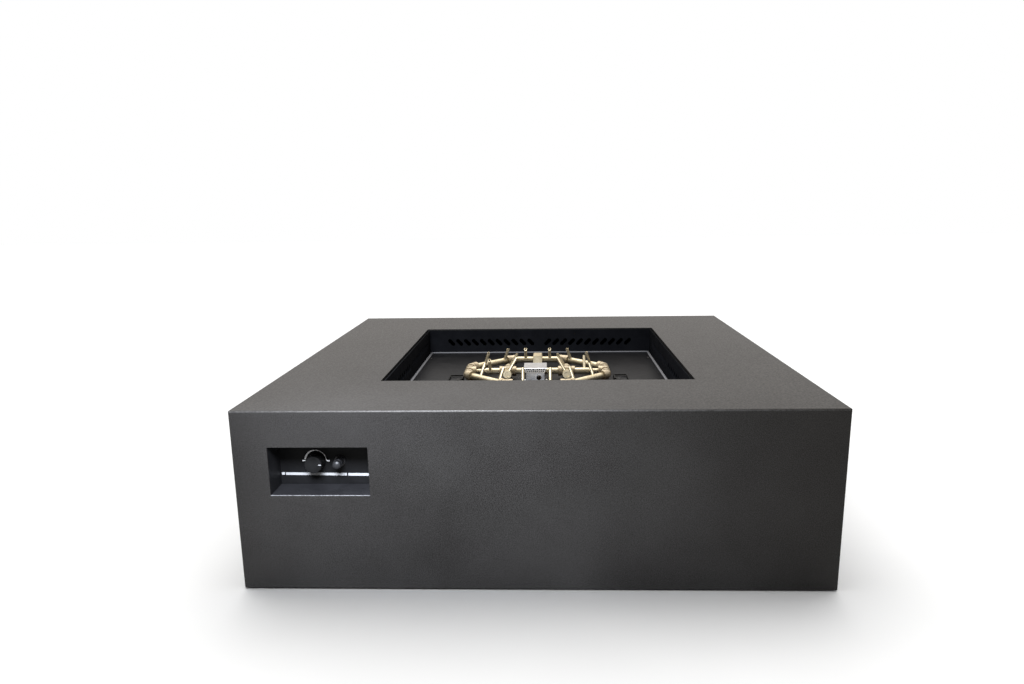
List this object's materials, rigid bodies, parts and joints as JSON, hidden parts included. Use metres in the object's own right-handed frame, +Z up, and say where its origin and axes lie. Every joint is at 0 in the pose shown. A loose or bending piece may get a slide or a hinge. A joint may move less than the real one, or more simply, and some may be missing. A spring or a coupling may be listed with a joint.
{
  "type": "gas fire pit table",
  "caption": "Low square sheet-metal gas fire pit table with a slotted drop-in fire bowl, a brass pipe burner ring with angled jets and a recessed control panel in front.",
  "frame": {"origin": "on the floor, under the middle of the table", "axes": "+Z up, +X to the right seen from the front, front skirt with the control recess facing -Y"},
  "size_m": [1.219, 1.219, 0.384],
  "materials": {
    "body_paint": "fine-textured powder coat, warm dark grey",
    "frame_paint": "satin powder coat, charcoal",
    "black_coat": "satin heat-resistant coat, near black",
    "wire_coat": "black coated wire",
    "foot_rubber": "matte",
    "zinc_steel": "zinc-plated",
    "stainless": "brushed stainless sheet",
    "brass_pipe": "polished",
    "brass_fitting": "cast, matte",
    "valve_casting": "die-cast",
    "tube_aluminium": "drawn tube",
    "copper_probe": "drawn copper",
    "knob_plastic": "satin black",
    "button_plastic": "glossy black",
    "module_plastic": "matte black",
    "white_mark": "white inlay",
    "insulator_white": "glazed white",
    "hose_jacket": "smooth jacket",
    "lead_jacket": "smooth jacket"
  },
  "bodies": {
    "table": {"body_shell": "body_paint", "corner_braces": "frame_paint", "foot_pads": "foot_rubber", "foot_screws": "zinc_steel", "rail_brackets": "frame_paint", "well_rails": "frame_paint", "rail_bolts": "zinc_steel", "burner_well": "black_coat", "well_screws": "zinc_steel", "burner_tray": "black_coat", "tray_screws": "zinc_steel", "handle_clips": "black_coat", "clip_rivets": "zinc_steel", "ring_pipes": "brass_pipe", "ring_elbows": "brass_fitting", "side_tees": "brass_fitting", "rear_block": "brass_fitting", "crossbar_pipes": "brass_pipe", "thin_nipples": "brass_pipe", "cross_fittings": "brass_fitting", "stub_caps": "brass_fitting", "centre_tee": "brass_fitting", "ring_jets": "brass_pipe", "inner_jets": "brass_pipe", "inlet_riser": "brass_pipe", "riser_locknuts": "brass_fitting", "riser_elbow": "brass_fitting", "air_mixer": "zinc_steel", "gas_orifice": "brass_fitting", "pilot_base": "stainless", "pilot_cover": "stainless", "pilot_screws": "zinc_steel", "pilot_burner": "brass_fitting", "spark_insulator": "insulator_white", "spark_rod": "zinc_steel", "thermocouple": "copper_probe", "tray_grommet": "foot_rubber", "control_recess": "black_coat", "control_panel": "black_coat", "panel_studs": "zinc_steel", "gas_valve": "valve_casting", "valve_screws": "zinc_steel", "valve_spring": "zinc_steel", "igniter_module": "module_plastic", "igniter_bezel": "module_plastic", "igniter_spring": "zinc_steel", "inlet_fitting": "brass_fitting", "outlet_fitting": "brass_fitting", "burner_hose": "hose_jacket", "pilot_tube": "tube_aluminium", "spark_lead": "lead_jacket", "thermocouple_lead": "copper_probe"},
    "valve_push_rod": {"valve_push_rod": "zinc_steel"},
    "control_knob": {"control_knob": "knob_plastic", "valve_stem": "brass_fitting", "knob_pointer": "white_mark"},
    "igniter_button": {"igniter_button": "button_plastic"},
    "lift_handle_left": {"lift_handle_left": "wire_coat"},
    "lift_handle_right": {"lift_handle_right": "wire_coat"}
  },
  "joints": [
    {"name": "knob_push", "type": "slide", "parent": "table", "child": "valve_push_rod", "axis": [0, 1, 0], "range_m": [0, 0.004], "stiffness_N_per_m": 1500, "springref_m": -0.002, "deforming": ["valve_spring"]},
    {"name": "knob_turn", "type": "hinge", "parent": "valve_push_rod", "child": "control_knob", "pos_m": [-0.459, -0.549, 0.257], "axis": [0, -1, 0], "range_deg": [0, 180]},
    {"name": "igniter_push", "type": "slide", "parent": "table", "child": "igniter_button", "axis": [0, 1, 0], "range_m": [0, 0.004], "stiffness_N_per_m": 1200, "springref_m": -0.002, "deforming": ["igniter_spring"]},
    {"name": "handle_left_fold", "type": "hinge", "parent": "table", "child": "lift_handle_left", "pos_m": [-0.207, -0.032, 0.31158], "axis": [0, 1, 0], "range_deg": [0, 90]},
    {"name": "handle_right_fold", "type": "hinge", "parent": "table", "child": "lift_handle_right", "pos_m": [0.207, -0.032, 0.31158], "axis": [0, -1, 0], "range_deg": [0, 90]}
  ]
}
